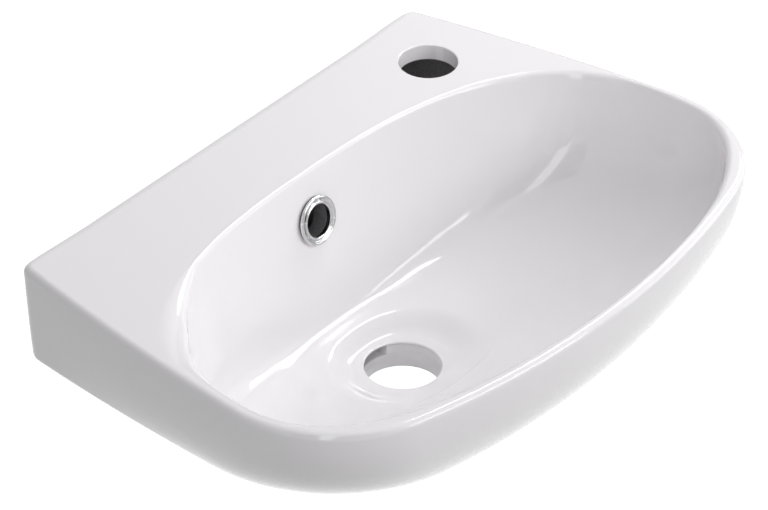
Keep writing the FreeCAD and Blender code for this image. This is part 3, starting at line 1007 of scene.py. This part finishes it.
def make_world():
    """White to the eye and in mirrors, and dimmer as light on the basin."""
    world = bpy.data.worlds.new("studio")
    bpy.context.scene.world = world
    world.use_nodes = True
    nodes = world.node_tree.nodes
    links = world.node_tree.links
    background = nodes["Background"]
    level = spread(nodes, links, background_factor(nodes, links), low=AMBIENT, high=1.0)
    links.new(level, background.inputs["Strength"])
    background.inputs["Color"].default_value = (1, 1, 1, 1)


def floor_material():
    """Pale to the eye, with its own shadow, and darker to the light that it sends back up."""
    material, nodes, links, shader = new_material("pale_floor")
    shader.inputs["Roughness"].default_value = 1.0
    shader.inputs["Specular IOR Level"].default_value = 0.0
    seen = background_factor(nodes, links)
    tone = spread(nodes, links, seen, low=FLOOR_BOUNCE, high=FLOOR_TONE)
    links.new(tone, shader.inputs["Base Color"])
    glow = spread(nodes, links, seen, low=0.0, high=FLOOR_GLOW)
    links.new(glow, shader.inputs["Emission Strength"])
    shader.inputs["Emission Color"].default_value = (1, 1, 1, 1)
    return material


def make_floor():
    half = FLOOR_SIZE / 2
    z = SHELF_Z - FLOOR_DROP
    corners = [(-half, -half, z), (half, -half, z), (half, half, z), (-half, half, z)]
    floor = mesh_object("floor", corners, [(0, 1, 2, 3)])
    floor.data.materials.append(floor_material())


def around(azimuth, elevation, distance):
    """Place in a direction from the basin, with the azimuth from the front towards the right."""
    turn = math.radians(azimuth)
    rise = math.radians(elevation)
    level = distance * math.cos(rise)
    middle = Vector((0, -DEPTH / 2, SHELF_Z))
    return middle + Vector((level * math.sin(turn), -level * math.cos(turn), distance * math.sin(rise)))


def towards_basin(place):
    """Turn that faces the basin from a place."""
    return (around(0, 0, 0) - place).to_track_quat("-Z", "Y")


def make_lamp(name, azimuth, elevation, distance, width, height, power):
    data = bpy.data.lights.new(name, "AREA")
    data.shape = "RECTANGLE"
    data.size = width
    data.size_y = height
    data.energy = power
    lamp = bpy.data.objects.new(name, data)
    bpy.context.scene.collection.objects.link(lamp)
    place = around(azimuth, elevation, distance)
    lamp.location = place
    lamp.rotation_euler = towards_basin(place).to_euler()


def cloth(name, tint):
    material, nodes, links, shader = new_material(name)
    place = nodes.new("ShaderNodeTexCoord")
    weave = noise(nodes, links, place, scale=300.0, detail=2.0)
    links.new(ramp(nodes, links, weave, tint), shader.inputs["Base Color"])
    shader.inputs["Roughness"].default_value = 1.0
    return material


def make_card(name, azimuth, elevation, distance, width, height, tint):
    """Cloth backdrop that only mirror-like surfaces show."""
    place = around(azimuth, elevation, distance)
    turn = towards_basin(place).to_matrix()
    points = []
    for x, y in ((-1, -1), (1, -1), (1, 1), (-1, 1)):
        points.append(tuple(place + turn @ Vector((x * width / 2, y * height / 2, 0))))
    card = mesh_object(name, points, [(0, 1, 2, 3)])
    card.data.materials.append(cloth(name + "_cloth", tint))
    card.visible_camera = False
    card.visible_diffuse = False
    card.visible_shadow = False


def make_studio():
    make_world()
    make_floor()
    for name, values in LAMPS.items():
        make_lamp(name, *values)
    for name, values in CARDS.items():
        make_card(name, *values)


def make_camera():
    data = bpy.data.cameras.new("camera")
    data.lens = CAMERA_LENS
    data.sensor_width = SENSOR_WIDTH
    data.clip_end = CAMERA_RANGE
    camera = bpy.data.objects.new("camera", data)
    bpy.context.scene.collection.objects.link(camera)
    back = Vector((
        math.sin(CAMERA_AZIMUTH) * math.cos(CAMERA_ELEVATION),
        -math.cos(CAMERA_AZIMUTH) * math.cos(CAMERA_ELEVATION),
        math.sin(CAMERA_ELEVATION),
    ))
    camera.location = CAMERA_TARGET + back * CAMERA_DISTANCE
    camera.rotation_euler = (-back).to_track_quat("-Z", "Y").to_euler()
    bpy.context.scene.camera = camera


make_pieces()
make_camera()
make_studio()
bpy.context.scene.view_settings.view_transform = "Standard"
